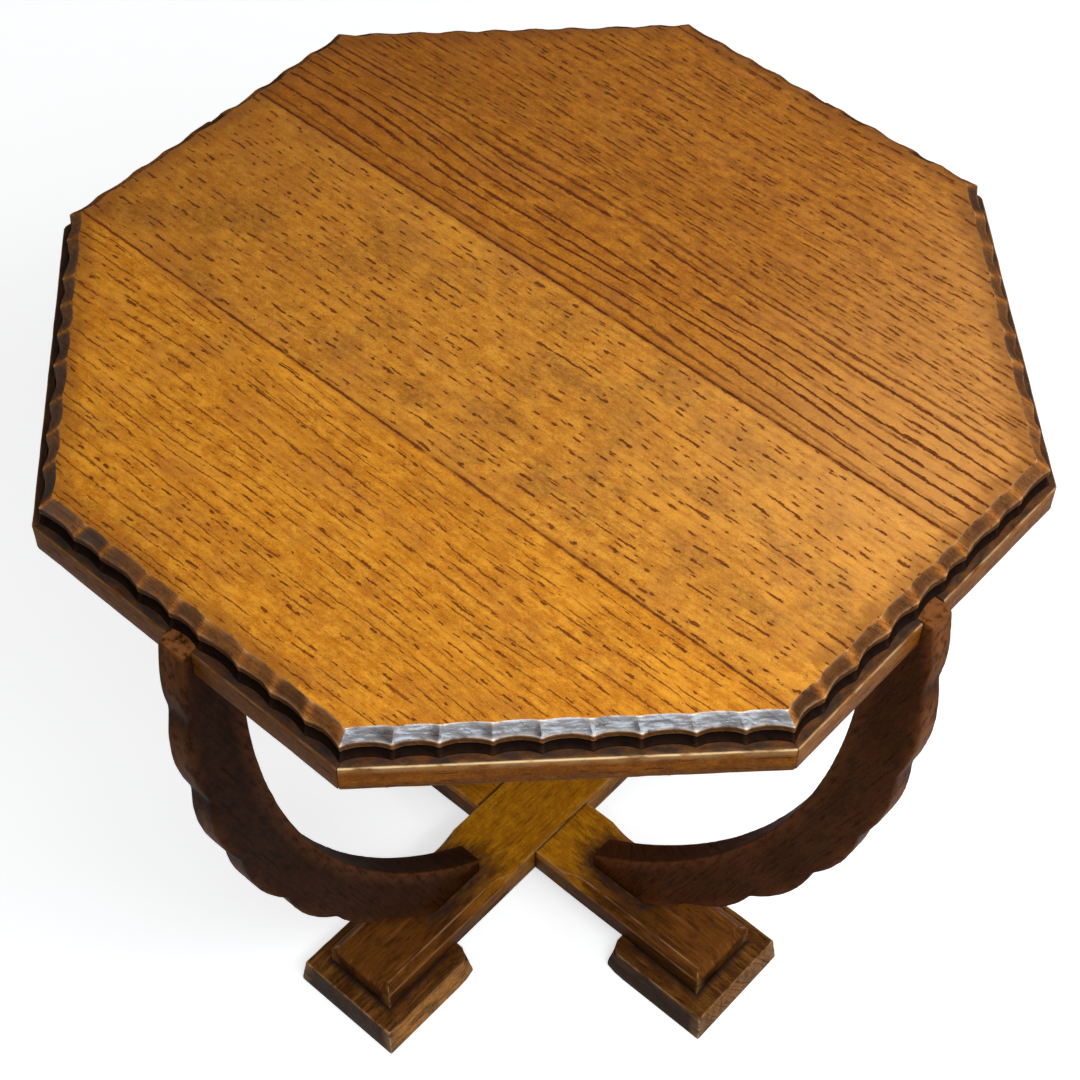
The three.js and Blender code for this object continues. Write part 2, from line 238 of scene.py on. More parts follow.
def scoop_rows():
    """
    For each side its angle, and the edges, depths and dirt of its scoops, with how crisp they are and
    how much of their depth shows on the flat of the top.
    The front was cut most evenly, the back is rubbed soft, the front right side fades to its far end.
    """
    rng = np.random.default_rng(31)
    rows = []
    for side in SIDES:
        jitter = 0.005 if side == "front" else 0.017
        edges = np.linspace(0, 1, SCOOPS + 1)
        edges[1:-1] += rng.uniform(-jitter, jitter, SCOOPS - 1)
        shallow, deep = {"front": (1.8, 2.2), "back": (0.9, 1.5)}.get(side.split("_")[0], (1.2, 2.2))
        depths, dirt = rng.uniform(shallow, deep, SCOOPS), rng.uniform(0.1, 0.9, SCOOPS)
        if side == "front_right":
            depths *= np.linspace(1.1, 0.55, SCOOPS)
            dirt = 0.3 * dirt + np.linspace(0.8, 0.35, SCOOPS)
        elif side == "front_left":
            depths *= rng.uniform(0.5, 1.1, SCOOPS)
        elif side == "front":
            dirt *= 0
        crisp = {"front": 1.0, "back": 0.0}.get(side, 0.6 if side.startswith("front") else 0.3)
        upper = 0.35 if side == "front" else 0.45
        rows.append((facing(side), edges, depths * MM, dirt, crisp, upper))
    return rows


SCOOP_STEPS = np.array([0.05, 0.1, 0.18, 0.28, 0.42, 0.6, 0.8, 1.0])  # from a ridge to a scoop's middle


def scooped(rows, offset, height, weight, plateau):
    """
    One outline of the top, its nearness to a ridge and its dirt. Offset, height and plateau are in mm,
    and the ridges are flat for plateau each way.
    """
    apothem = EDGE + offset * MM
    ring, ridges, dirty = [], [], []
    for angle, edges, depths, dirt, crisp, upper in rows:
        length = 2 * apothem * HALF_SIDE
        sagging = weight * (upper + (1 - upper) * min(-height / 4, 1))
        for k, depth in enumerate(depths):
            width = (edges[k + 1] - edges[k]) * length
            p, half = plateau * MM, width / 2
            close = np.array([0, 0.6 * p, p - 0.08 * MM, p + 0.05 * MM])
            first = np.concatenate([close, p + (half - p) * SCOOP_STEPS])
            apart = np.concatenate([first, first[-2:0:-1]])
            part = np.clip((apart - p) / (half - p), 0, 1)
            sag = crisp * (1 - (1 - part) ** 2.5) + (1 - crisp) * np.sin(part * pi / 2) ** 2
            out = apothem - sagging * depth * sag
            far = np.where(np.arange(len(apart)) < len(first), apart, width - apart)
            along = (edges[k] - 0.5) * length + far
            ring.append(turned(np.column_stack([out, along, np.full(len(out), TOP_Z + height * MM)]), angle))
            ridges.append(np.exp(-((apart / (p + 0.7 * MM)) ** 4)))
            dirty.append(dirt[k] * np.minimum(part * 3, 1))
    return np.concatenate(ring), np.concatenate(ridges), np.concatenate(dirty)


# offset from the edge and height above the top in mm, scoop weight, half width of the ridges in mm, and the
# paler colour of rubbing and of painted highlights along the arrises
PROFILE = [
    (-150, 0, 0, 1, 0), (-70, 0, 0, 1, 0), (-35, 0, 0, 1, 0), (-20, 0, 0.1, 1, 0), (-12, 0, 0.7, 1, 0),
    (-8.2, 0, 1, 1, 0), (-6.95, -0.02, 1, 1, 0.3), (-6.6, -0.1, 1, 0.95, 0.9), (-6.35, -0.26, 1, 0.9, 0.9),
    (-5.9, -0.52, 1, 0.8, 0.3), (-4.8, -1.17, 1, 0.7, 0.1), (-3.45, -1.98, 1, 0.6, 0),
    (-3.15, -2.2, 1, 0.6, 0.1), (-2.4, -2.64, 1, 0.5, 0), (-1.4, -3.22, 1, 0.4, 0.1),
    (-0.75, -3.6, 1, 0.4, 0.3), (-0.25, -3.93, 1, 0.35, 1), (0, -4.35, 1, 0.35, 0.4), (0, -5.6, 1, 0.35, 0),
    (0, -7.2, 1, 0.35, 0.2), (-0.1, -7.65, 1, 0.35, 1), (-0.32, -7.95, 1, 0.35, 0.7), (-1, -8.25, 1, 0.4, 0),
    (-1.15, -8.7, 1, 0.4, 0), (-0.75, -9.8, 1, 0.4, 0), (-0.1, -11.4, 1, 0.4, 0.05),
    (0.7, -13.1, 1, 0.4, 0.15), (1, -13.8, 1, 0.4, 0.1), (1, -14, 1, 0.4, 0), (-8, -14, 0.2, 1, 0),
    (-60, -14, 0, 1, 0), (-150, -14, 0, 1, 0),
]
# stations of the profile: where the bevel, the upright band and the dark lower wall begin
FLAT, BAND, WALL = 6.5, 16.5, 21.5
BUMPY, WAVY = range(6, 28), range(7, 25)  # stations that are uneven inwards, and up and down


def build_top():
    """The three boards of the top, cut from one gouged octagon along the joints."""
    rows = scoop_rows()
    rings, wear, ridge_all, dirt_all, level = [], [], [], [], []
    for station, (offset, height, weight, plateau, worn_and_highlight) in enumerate(PROFILE):
        ring, ridges, dirty = scooped(rows, offset, height, weight, plateau)
        if station in BUMPY:
            radial = ring[:, :2] / np.linalg.norm(ring[:, :2], axis=1)[:, None]
            rougher = np.where(ring[:, 1] < -EDGE + 9 * MM, 1, 2)  # everywhere but at the front
            bumps = (ripple(ring, 6 * MM, 5) * 0.05 + ripple(ring, 22 * MM, 6) * 0.09) * rougher
            ring[:, :2] -= radial * (np.abs(bumps) * MM)[:, None]
            if station in WAVY:
                ring[:, 2] += ripple(ring, 19 * MM, 8) * 0.08 * MM
        rings.append(ring)
        ridge_all.append(ridges * min(weight, 1))
        dirt_all.append(dirty)
        wear.append(np.full(len(ring), worn_and_highlight))
        level.append(np.full(len(ring), float(station)))
    points, faces = lofted(rings)
    points[:, 2] = np.minimum(points[:, 2], TOP_Z)
    whole = solid("whole_top", points, faces)
    for name, values in (("wear", wear), ("ridge", ridge_all), ("dirt", dirt_all), ("level", level)):
        store(whole, name, np.concatenate(values))
    boards = []
    across = Vector((1, 1, 0)).normalized()
    gap = 0.03 * MM
    for name, (low, high) in BOARDS.items():
        bm = bmesh.new()
        bm.from_mesh(whole.data)
        for limit, sign in ((low, -1), (high, 1)):
            if limit is not None:
                geom = bm.verts[:] + bm.edges[:] + bm.faces[:]
                place, outward = across * (limit - sign * gap), across * sign
                bmesh.ops.bisect_plane(bm, geom=geom, plane_co=place, plane_no=outward, clear_outer=True)
                bmesh.ops.contextual_create(bm, geom=[edge for edge in bm.edges if edge.is_boundary])
        bmesh.ops.recalc_face_normals(bm, faces=bm.faces)
        mesh = bpy.data.meshes.new("board_" + name)
        bm.to_mesh(mesh)
        bm.free()
        boards.append((name, linked("board_" + name, mesh)))
    bpy.data.objects.remove(whole)
    return boards


# -------- the frame


def build_rail(side):
    """One mitred rail. Its upper outer arris is rubbed round, its faces are a little uneven."""
    outer, inner, top, bottom = FRAME_OUTER, FRAME_INNER, LEDGE_Z, RAIL_Z
    middle = (top + bottom) / 2
    corners = [
        (outer, bottom, [(0, 1), (0, 6), (0, 11)]),
        (outer, top, [(0, 1), (0.12, 0.45), (0.45, 0.12), (1, 0), (2.6, 0), (5, 0), (9, 0)]),
        (inner, top, [(0.6, 0), (0, 0.6)]), (inner, bottom, [(0, 0.6), (0.6, 0)]),
        (outer, bottom, [(12, 0), (0.8, 0), (0.2, 0.3)]),
    ]  # with the points near each corner of the section, in mm into the rail
    section = []
    for x, z, points in corners:
        inward, upward = copysign(MM, (inner + outer) / 2 - x), copysign(MM, middle - z)
        section += [(x + inward * a, z + upward * b) for a, b in points]
    stops = np.concatenate([[-1, -0.997, -0.99], np.linspace(-0.97, 0.97, 45), [0.99, 0.997, 1]])
    rings = []
    trim = FIT_GAP / 2 / cos(pi / 8)
    for stop in stops:
        shrink = {1.0: 0.35, 0.997: 0.1}.get(round(abs(stop), 3), 0) * MM
        ring = []
        for reach, z in section:
            z = z - copysign(min(shrink, abs(z - middle)), z - middle)
            reach = reach - shrink if reach > (outer + inner) / 2 else reach + shrink
            ring.append((reach, stop * (reach * HALF_SIDE - trim), z))
        rings.append(ring)
    points, faces = lofted(rings)
    seed = SIDES.index(side)
    uneven = ripple(points, 60 * MM, 40 + seed) * 0.10 + ripple(points, 9 * MM, 60 + seed) * 0.05
    on_outer = points[:, 0] > outer - 1.2 * MM
    points[on_outer, 0] -= np.abs(uneven[on_outer]) * MM
    obj = solid("frame_" + side, turned(points, facing(side)), faces)
    cutters = []
    for along in (-RAIL_SCREW_REACH, RAIL_SCREW_REACH):
        cutters.append(hole_up((outer + inner) / 2, along, bottom, RAIL_SCREW, facing(side)))
    if side in CORNERS:
        slot = leg_inner(LEDGE_Z) - FIT_GAP, outer + 5 * MM
        half = LEG_THICKNESS / 2 + FIT_GAP
        cutters.append(box_cutter(slot, (-half, half), (bottom - MM, top + MM), facing(side)))
        place = Matrix.Translation((inner + HEAD_INSET, 0, bottom + LEG_SCREW_RISE))
        matrix = Matrix.Rotation(facing(side), 4, "Z") @ place @ Matrix.Rotation(pi / 2, 4, "Y")
        cutters.append(screw_cutter(matrix, LEG_SCREW))
    return cut(obj, cutters)


# -------- the legs

leg_top = Vector((FRAME_OUTER + LEG_PROUD, LEDGE_Z))
leg_heel = Vector((HEEL_REACH, ARM_TOP))
chord = leg_top - leg_heel
back = sqrt(LEG_RADIUS**2 - chord.length_squared / 4)
leg_centre = (leg_top + leg_heel) / 2 + Vector((-chord.y, chord.x)).normalized() * back


def leg_inner(height):
    return leg_centre.x + sqrt((LEG_RADIUS - LEG_WIDTH) ** 2 - (height - leg_centre.y) ** 2)


def on_leg_circle(radius, angle):
    return leg_centre + Vector((cos(angle), sin(angle))) * radius


def leg_angle(reach, height):
    return atan2(height - leg_centre.y, reach - leg_centre.x)


def leg_edges(seed):
    """Matching points up the inner and outer edges of a leg, and how far each is into a notch."""
    rng = np.random.default_rng(seed)
    top_angle, heel_angle = leg_angle(*leg_top), leg_angle(*leg_heel)
    crests = np.arange(-4, 5) + rng.uniform(-0.06, 0.06, 9)
    depths = LEG_LOBE_DEPTH * rng.uniform(0.85, 1.12, 9)
    steps = 150
    outer, notch = [], []
    for step in range(steps + 1):
        lobes = (step / steps - 0.5) * LEG_LOBES
        drops = depths * (2 * (lobes - crests)) ** 2
        blend = 0.7 * MM
        drop = -blend * log(np.exp(-drops / blend).sum())
        drop = max(drop, 0) * min(1, 8 * min(step, steps - step) / steps)
        outer.append(on_leg_circle(LEG_RADIUS - drop, heel_angle + (top_angle - heel_angle) * step / steps))
        notch.append(min(drop / LEG_LOBE_DEPTH, 1))
    toe = leg_inner(ARM_TOP + TOE_FACE)
    start, end = leg_angle(toe, ARM_TOP + TOE_FACE), leg_angle(leg_inner(LEDGE_Z), LEDGE_Z)
    face_steps = 7
    inner = [Vector((toe, ARM_TOP + TOE_FACE * k / face_steps)) for k in range(face_steps)]
    rest = len(outer) - face_steps
    for k in range(rest):
        inner.append(on_leg_circle(LEG_RADIUS - LEG_WIDTH, start + (end - start) * k / (rest - 1)))
    return inner, outer, notch


def build_leg(corner):
    inner, outer, notch = leg_edges(100 + CORNERS.index(corner))
    half = LEG_THICKNESS / 2
    rings, into = [], []
    count = len(inner)
    for k, (a, b) in enumerate(zip(inner, outer)):
        width = (b - a).length
        d = (b - a) / width
        shrink = 0.4 * MM if k in (0, count - 1) else 0
        full, end = half - shrink, width - shrink
        # distances across the leg from its inner edge, with the half thickness there
        stops = [
            (shrink, half * 0.5), (shrink, half - 0.9 * MM), (0.3 * MM + shrink, half - 0.3 * MM),
            (MM + shrink, full), (0.3 * width, full), (0.55 * width, full), (0.8 * width, full),
            (width - 3 * MM, full), (end - 1.5 * MM, full - 0.1 * MM), (end - 0.55 * MM, full - 0.5 * MM),
            (end - 0.1 * MM, full - 1.3 * MM), (end, half - 2.6 * MM), (end, half * 0.3),
        ]
        ring = [((a + d * reach).x, thick, (a + d * reach).y) for reach, thick in stops]
        ring += [((a + d * reach).x, -thick, (a + d * reach).y) for reach, thick in reversed(stops)]
        rings.append(ring)
        into.append(np.full(len(ring), notch[k]))
    points, faces = lofted(rings)
    seed = CORNERS.index(corner)
    points[:, 1] -= np.sign(points[:, 1]) * np.abs(ripple(points, 40 * MM, 80 + seed)) * 0.12 * MM
    inside = (points[:, 2] > ARM_TOP + MM) & (points[:, 2] < LEDGE_Z - MM)
    points[inside, 0] -= np.abs(ripple(points, 11 * MM, 90 + seed) * 0.1 * MM)[inside]
    points[:, 2] = np.clip(points[:, 2], ARM_TOP, LEDGE_Z)
    obj = solid("leg_board_" + corner, turned(points, facing(corner)), faces)
    store(obj, "notch", np.concatenate(into))
    return obj


# -------- the base


def arm_chamfer(x):
    """Depth of the chamfer along an arm's top edges, which rises from a small rub at the stop."""
    stop = ARM_WIDTH / 2 + CHAMFER_STOP
    rise = np.clip((np.abs(x) - stop) / CHAMFER_RUN_OUT, 0, 1)
    return 0.5 * MM + (ARM_CHAMFER - 0.5 * MM) * np.sin(rise * pi / 2)


def build_arm(name, corner, notch):
    """One arm of the crossing, halved above or below, with stopped chamfers that run out at the crossing."""
    length, half = ARM_LENGTH / 2, ARM_WIDTH / 2
    stop, full = half + CHAMFER_STOP, half + CHAMFER_STOP + CHAMFER_RUN_OUT
    places = np.concatenate([
        np.linspace(0, stop - MM, 14), stop + CHAMFER_RUN_OUT * np.linspace(0, 1, 16) ** 1.6,
        np.linspace(full + 4 * MM, length - ARM_CHAMFER - 0.4 * MM, 18),
        length - ARM_CHAMFER + ARM_CHAMFER * np.array([0, 0.05, 0.15, 0.5, 0.85, 0.95, 1.0]), [length],
    ])
    rings = []
    for k, x in enumerate(places):
        last = k == len(places) - 1
        drop = max(0, x - (length - ARM_CHAMFER))
        chamfer = max(arm_chamfer(x) - drop, 0.4 * MM)
        top = ARM_TOP - drop - (0.25 * MM if last else 0)
        shrink = 0.3 * MM if last else 0
        rub = 0.16 * MM
        flat, foot = half - chamfer, top - chamfer
        section = [
            (0, top), (half * 0.4, top), (flat - 3 * MM, top), (flat - 0.7 * MM, top), (flat - rub, top),
            (flat + rub * 0.6, top - rub), (half - chamfer * 0.88, top - chamfer * 0.12),
            (half - chamfer / 2, top - chamfer / 2), (half - chamfer * 0.12, top - chamfer * 0.88),
            (half - rub, foot + rub * 0.6), (half, foot - rub), (half, foot - 0.8 * MM),
            (half, (foot + ARM_Z) / 2), (half, ARM_Z + 0.8 * MM), (half - 0.25 * MM, ARM_Z + 0.25 * MM),
            (half - 0.8 * MM, ARM_Z), (half * 0.5, ARM_Z), (0, ARM_Z),
        ]
        section = [(y - min(shrink, y), z) for y, z in section]
        ring = [(x, y, z) for y, z in section] + [(x, -y, z) for y, z in reversed(section[1:-1])]
        rings.append(np.array(ring))
    mirrored = [ring * [-1, 1, 1] for ring in reversed(rings[1:])]
    points, faces = lofted(mirrored + rings)
    seed = 3 if notch == "below" else 4
    side = np.abs(points[:, 1]) > half - 6 * MM
    points[side, 1] *= 1 - np.abs(ripple(points, 30 * MM, seed)[side]) * 0.004
    far = points[:, 2] > ARM_TOP - 8 * MM
    points[far, 2] -= np.abs(ripple(points, 26 * MM, seed + 9)[far]) * 0.12 * MM
    obj = solid(name, turned(points, facing(corner)), faces)
    middle = (ARM_Z + ARM_TOP) / 2
    low, high = (ARM_Z - MM, middle) if notch == "below" else (middle, ARM_TOP + MM)
    reach, beyond = half + FIT_GAP / 2, 40 * MM
    cutters = [box_cutter((-reach, reach), (-beyond, beyond), (low, high), facing(corner))]
    toe = (leg_inner(ARM_TOP + TOE_FACE) + HEEL_REACH) / 2
    for turn in (0, pi):
        cutters.append(hole_up(toe, 0, ARM_Z, BASE_SCREW, facing(corner) + turn))
    if notch == "above":
        cutters.append(hole_up(0, 0, ARM_Z, BASE_SCREW))
    return cut(obj, cutters)


def rounded_square(half, radius, z):
    along, steps = 10, 6
    flat = half - radius
    side = [(half, (-1 + 2 * i / along) * flat, z) for i in range(along)]
    for i in range(steps):
        a = pi / 2 * i / steps
        side.append((flat + radius * cos(a), flat + radius * sin(a), z))
    return np.concatenate([turned(np.array(side), k * pi / 2) for k in range(4)])


def build_foot(corner):
    """A square block. Its end keeps crisp edges, the two corners towards the middle are rubbed round."""
    base, top, height = FOOT_BASE / 2, FOOT_TOP / 2, ARM_Z
    levels = [(0.9, 0), (0.25, 0.3), (0, 1.0), (0, 2.4)]
    levels = [(base - inset * MM, z * MM) for inset, z in levels]
    for k in range(8):
        z = FOOT_RIM + (height - 0.8 * MM - FOOT_RIM) * k / 7
        levels.append((base + (top - base) * (z - FOOT_RIM) / (height - FOOT_RIM), z))
    levels += [(top - 0.06 * MM, height - 0.45 * MM), (top - 0.2 * MM, height - 0.14 * MM)]
    levels += [(top - inset * MM, height) for inset in (0.5, 1.2, 2.2, 4)]
    levels += [(ARM_WIDTH / 2 + out * MM, height) for out in (6, 4.2, 2.8, 1.7, 0.8, 0, -2, -8)]
    rings = [rounded_square(half, 0.9 * MM, z) for half, z in levels]
    points, faces = lofted(rings)
    inner = np.minimum(points[:, 0], 0) * np.abs(points[:, 1]) / (top * top)
    rub = np.clip(-inner - 0.78, 0, 0.22) / 0.22
    high = np.clip((points[:, 2] - 2 * MM) / (height - 2 * MM), 0, 1)
    most = 0.12 if corner.startswith("back") else 0.09
    points[:, :2] *= (1 - most * rub**1.5 * (0.45 + 0.55 * high**2))[:, None]
    points[:, 2] -= np.where(points[:, 2] > height - 5 * MM, 3.2 * MM * rub**1.6, 0)
    seed = CORNERS.index(corner)
    outside = (points[:, 2] > 0.4 * MM) & (np.max(np.abs(points[:, :2]), axis=1) > top - MM)
    uneven = np.abs(ripple(points, 14 * MM, 120 + seed)) * 0.004
    uneven += np.abs(ripple(points, 5 * MM, 130 + seed)) * 0.0012
    points[outside, :2] *= (1 - uneven[outside])[:, None]
    obj = solid("foot_block_" + corner, turned(points + [FOOT_REACH, 0, 0], facing(corner)), faces)
    places = FOOT_REACH - FOOT_SCREW_REACH, FOOT_REACH + FOOT_SCREW_REACH
    return cut(obj, [hole_up(place, 0, 0, BASE_SCREW, facing(corner)) for place in places])


# -------- materials


def linear(colour, dimmed=1.0):
    """The linear colour with its alpha, from sRGB of 0 to 255."""
    parts = [v / 255 for v in colour]
    parts = [v / 12.92 if v < 0.04045 else ((v + 0.055) / 1.055) ** 2.4 for v in parts]
    return [dimmed * v for v in parts] + [1.0]


class Nodes:
    """A short way to write a node material."""

    def __init__(self, name):
        self.material = bpy.data.materials.new(name)
        self.material.use_nodes = True
        self.tree = self.material.node_tree
        self.shader = self.tree.nodes["Principled BSDF"]

    def node(self, kind, inputs=(), **settings):
        made = self.tree.nodes.new("ShaderNode" + kind)
        for key, value in settings.items():
            setattr(made, key, value)
        for key, value in dict(inputs).items():
            self.put(made.inputs[key], value)
        return made

    def put(self, socket, value):
        """Links a socket, or sets a value. A colour of three parts is sRGB from 0 to 255."""
        if isinstance(value, bpy.types.NodeSocket):
            self.tree.links.new(value, socket)
        else:
            socket.default_value = linear(value) if socket.type == "RGBA" and len(value) == 3 else value

    def set(self, **values):
        for key, value in values.items():
            self.put(self.shader.inputs[key.replace("_", " ")], value)

    def attribute(self, name, output="Fac"):
        return self.node("Attribute", attribute_name=name).outputs[output]

    def parts(self, vector):
        """The vector's coordinates."""
        return self.node("SeparateXYZ", {0: vector}).outputs

    def maths(self, operation, a, b=0.0, clamp=False):
        return self.node("Math", {0: a, 1: b}, operation=operation, use_clamp=clamp).outputs[0]

    def plus(self, a, b):
        return self.maths("ADD", a, b)

    def minus(self, a, b):
        return self.maths("SUBTRACT", a, b)

    def times(self, a, b):
        return self.maths("MULTIPLY", a, b)

    def most(self, masks):
        """The strongest of several masks."""
        return functools.reduce(functools.partial(self.maths, "MAXIMUM"), masks)

    def mix(self, factor, a, b):
        return self.node("Mix", {0: factor, 6: a, 7: b}, data_type="RGBA").outputs[2]

    def ramp(self, value, low, high):
        """0 at low, 1 at high, smooth between."""
        return self.node("MapRange", {0: value, 1: low, 2: high}, interpolation_type="SMOOTHSTEP").outputs[0]

    def above(self, value, low, gain):
        """0 up to low, then rising to 1 with that gain."""
        return self.maths("MULTIPLY", self.minus(value, low), gain, True)

    def between(self, value, low, high, fade):
        """1 from low to high, fading out by fade on either side."""
        rise, fall = self.ramp(value, low - fade, low + fade), self.ramp(value, high + fade, high - fade)
        return self.times(rise, fall)

    def noise(self, vector, detail, roughness=0.5, scale=1.0):
        inputs = {"Vector": vector, "Scale": scale, "Detail": detail, "Roughness": roughness}
        return self.node("TexNoise", inputs).outputs[0]


class Wood(Nodes):
    """Nodes with a piece's grain coordinates, along, across and through it, and its colour so far."""

    def __init__(self, name):
        super().__init__(name)
        self.grain = self.attribute("grain", "Vector")
        self.colour = None

    def cover(self, coat, mask, share):
        """Lays a coat over the colour so far, by a share of the mask."""
        self.colour = self.mix(self.times(mask, share), self.colour, coat)

    def clouds(self, size, detail=2, roughness=0.5, shift=(0, 0, 0), vector=None):
        """Noise with features of that size in mm, along, across and through the grain."""
        scale = [1 / (length * MM) for length in size]
        place = {"Vector": vector or self.grain, "Location": shift, "Scale": scale}
        return self.noise(self.node("Mapping", place).outputs[0], detail, roughness)

    def patches(self, size, low, high, detail=2, roughness=0.5, shift=(0, 0, 0), vector=None):
        """Such noise spread from 0 to 1 between low and high."""
        return self.ramp(self.clouds(size, detail, roughness, shift, vector), low, high)

    def wander(self, size, shift, detail, reach):
        """Such noise about nought."""
        return self.times(self.minus(self.clouds(size, detail, 0.5, shift), 0.5), reach)

    def box_distance(self, vector, centre, half):
        """Distance from the nearest of four boxes, mirrored in x and y, given one's centre and half size."""
        nought = 0, 0, 0
        for operation, other in (("ABSOLUTE", nought), ("SUBTRACT", centre), ("ABSOLUTE", nought),
                                 ("SUBTRACT", half), ("MAXIMUM", nought)):
            vector = self.node("VectorMath", {0: vector, 1: other}, operation=operation).outputs[0]
        return self.node("VectorMath", {0: vector}, operation="LENGTH").outputs["Value"]

    def dashes(self, along, across, spacing, length, width, share, seed):
        """
        Broken pore lines, one row to each spacing, in metres, and the soft band that each lies in. Share is
        how much of a row is marked.
        """
        fade, edge, band = 14, 0.00006, 0.0014
        row = self.plus(self.maths("DIVIDE", across, spacing), 0.37 * seed)
        index = self.maths("FLOOR", row)
        lane = self.node("TexWhiteNoise", {"W": index}, noise_dimensions="1D").outputs[0]
        lane = self.plus(self.times(lane, 0.5), 0.25)
        off = self.times(self.maths("ABSOLUTE", self.minus(self.minus(row, index), lane)), spacing)
        place = {0: self.maths("DIVIDE", along, length), 1: self.times(index, 3.71), 2: float(seed)}
        value = self.noise(self.node("CombineXYZ", place).outputs[0], 1, 0.5)
        body = self.times(self.minus(value, 0.64 - 0.28 * share), fade)
        body = self.maths("MINIMUM", self.maths("MAXIMUM", body, 0), 1)
        reach = self.minus(self.times(body, width / 2 + edge), off)
        mark = self.maths("MULTIPLY", reach, 1 / (2 * edge), True)
        return mark, self.times(self.ramp(off, band, 0.0), self.ramp(value, 0.3, 0.6))


def oak(name, shades, rows, seed, halo=0.3, ray=0.0, spots=0.0, roughness=0.45, specular=0.02, coat=0.0,
        worn_and_highlight=None, grime=None, dust=None, tone=None, joints=(), extra=None, matt=0.0, sheen=(1, 1, 1, 1)):
    """
    Oak with its pores in broken rows. Shades are light, middle, dark and pore. Rows lists spacing, length
    and width in mm, share and darkness, and the limits in metres of rows that keep to a stretch across the
    piece. The last colours paint what attributes named like them mark: paler rubbing with painted
    highlights, dirt with painted shade, dusty patches with a painted sheen, and painted light on lit flanks.
    """
    n = Wood(name)
    light, mid, dark, pore = shades
    shift = (3.1 * seed, 1.7 * seed, 0.9 * seed)
    along, across, through = n.parts(n.grain)
    bend = n.wander((160, 40, 50), shift, 1, 0.014)
    waver = n.wander((6, 2.2, 10), shift, 2, 0.0022)
    unsteady = n.plus(waver, n.wander((1.2, 0.6, 2), shift, 1, 0.0009))
    bent = n.plus(n.plus(across, n.times(through, 0.7)), n.plus(bend, unsteady))
    marks, halos = [], []
    for k, (spacing, length, width, share, darkness, *zone) in enumerate(rows):
        mark, soft = n.dashes(along, bent, spacing * MM, length * MM, width * MM, share, seed + 1.3 * k)
        if zone:
            keep = n.between(across, *zone, 0.006)
            mark, soft = n.times(mark, keep), n.times(soft, keep)
        marks.append(n.times(mark, darkness))
        halos.append(soft)
    for joint, strength in joints:
        apart = n.maths("ABSOLUTE", n.minus(n.plus(across, n.times(unsteady, 0.7)), joint))
        line = n.times(n.ramp(apart, 0.001, 0.0004), n.patches((12, 10, 10), 0.15, 0.5))
        marks.append(n.times(line, strength))
        halos.append(n.times(n.ramp(apart, 0.003, 0.0005), strength))
    broad = n.patches((60, 35, 50), 0.35, 0.68, 2, 0.55, shift)
    mottle = n.patches((9, 6.5, 8), 0.36, 0.64, 3, 0.65, shift)
    streak = n.patches((20, 5, 10), 0.5, 0.75, 3, 0.6, shift)
    fine = n.clouds((2.2, 1.2, 2), 3, 0.7, shift)
    fibre = n.clouds((14, 0.6, 0.6), shift=shift)
    speck = n.clouds((0.9, 0.7, 1), 2, 0.7, shift)
    n.colour = n.mix(mottle, mid, light)
    # painted light: lit flanks of the legs and feet are lightened
    if tone:
        n.colour = n.mix(n.attribute("tone"), n.colour, tone)
    n.cover(mid, broad, 0.4)
    n.cover(dark, streak, 0.45)
    n.cover(dark, n.ramp(fine, 0.45, 0.68), 0.42)
    n.cover(dark, n.ramp(speck, 0.5, 0.66), 0.36)
    n.cover(light, n.ramp(speck, 0.45, 0.32), 0.6)
    n.cover(dark, n.ramp(fibre, 0.42, 0.7), 0.2)
    if ray:
        figure = {"Vector": n.grain, "Rotation": (0, 0, radians(62)), "Scale": (22, 95, 60)}
        bands = n.ramp(n.noise(n.node("Mapping", figure).outputs[0], 2, 0.6), 0.46, 0.62)
        bands = n.times(bands, n.patches((60, 50, 50), 0.4, 0.6, 1, 0.5, (8, 3, 5)))
        n.cover(light, bands, ray)
    if extra:
        extra(n)
    n.cover(dark, n.most(halos), halo)
    tick = n.clouds((3.6, 0.9, 2), 2, 0.6, shift)
    marks.append(n.times(n.above(tick, 0.655, 10), 0.6))
    if spots:
        field = n.patches((70, 50, 60), 0.5, 0.7, 1, 0.5, (2, 9, 4))
        blob = n.clouds((4.5, 2.8, 4), 2, 0.65, (11, 5, 3))
        marks.append(n.times(n.above(n.plus(blob, n.times(field, 0.06)), 0.735, 14), spots))
    marks = n.most(marks)
    deep = n.patches((3.5, 2, 3), 0.4, 0.62, 2, 0.6, (4, 4, 4))
    n.colour = n.mix(marks, n.colour, n.mix(deep, pore, linear(pore, 0.42)))
    # dirt, and painted shade on the rails and feet that face away from the lamps
    if grime:
        n.cover(grime, n.attribute("grime"), 0.92)
    # paler rubbing, together with painted highlights on arrises and lobes
    if worn_and_highlight:
        rub = n.patches((12, 4, 4), 0.28, 0.6, 3, 0.6)
        n.cover(worn_and_highlight, n.attribute("wear"), rub)
    # dusty patches together with a painted sheen
    if dust:
        patch = n.patches((8, 4, 4), 0.3, 0.7, 3, 0.6, (5, 1, 1))
        n.cover(dust, n.attribute("dust"), n.plus(n.times(patch, 0.45), 0.5))
    rough = n.plus(n.plus(roughness, n.times(marks, 0.25)), n.times(n.minus(broad, 0.5), 0.08))
    if matt:
        place = n.node("TexCoord").outputs["Object"]
        facets = n.patches((8, 1.2, 1.4), 0.36, 0.62, 3, 0.6, (2, 2, 7), place)
        rough = n.plus(rough, n.times(facets, matt))
    height = n.minus(n.times(fibre, 0.2), marks)
    bump = n.node("Bump", {"Height": height, "Strength": 0.5, "Distance": 0.0002}).outputs[0]
    n.set(Base_Color=n.colour, Roughness=rough, Normal=bump, Specular_IOR_Level=specular, Coat_Weight=coat,
          Coat_Roughness=0.12, Specular_Tint=sheen)
    return n.material


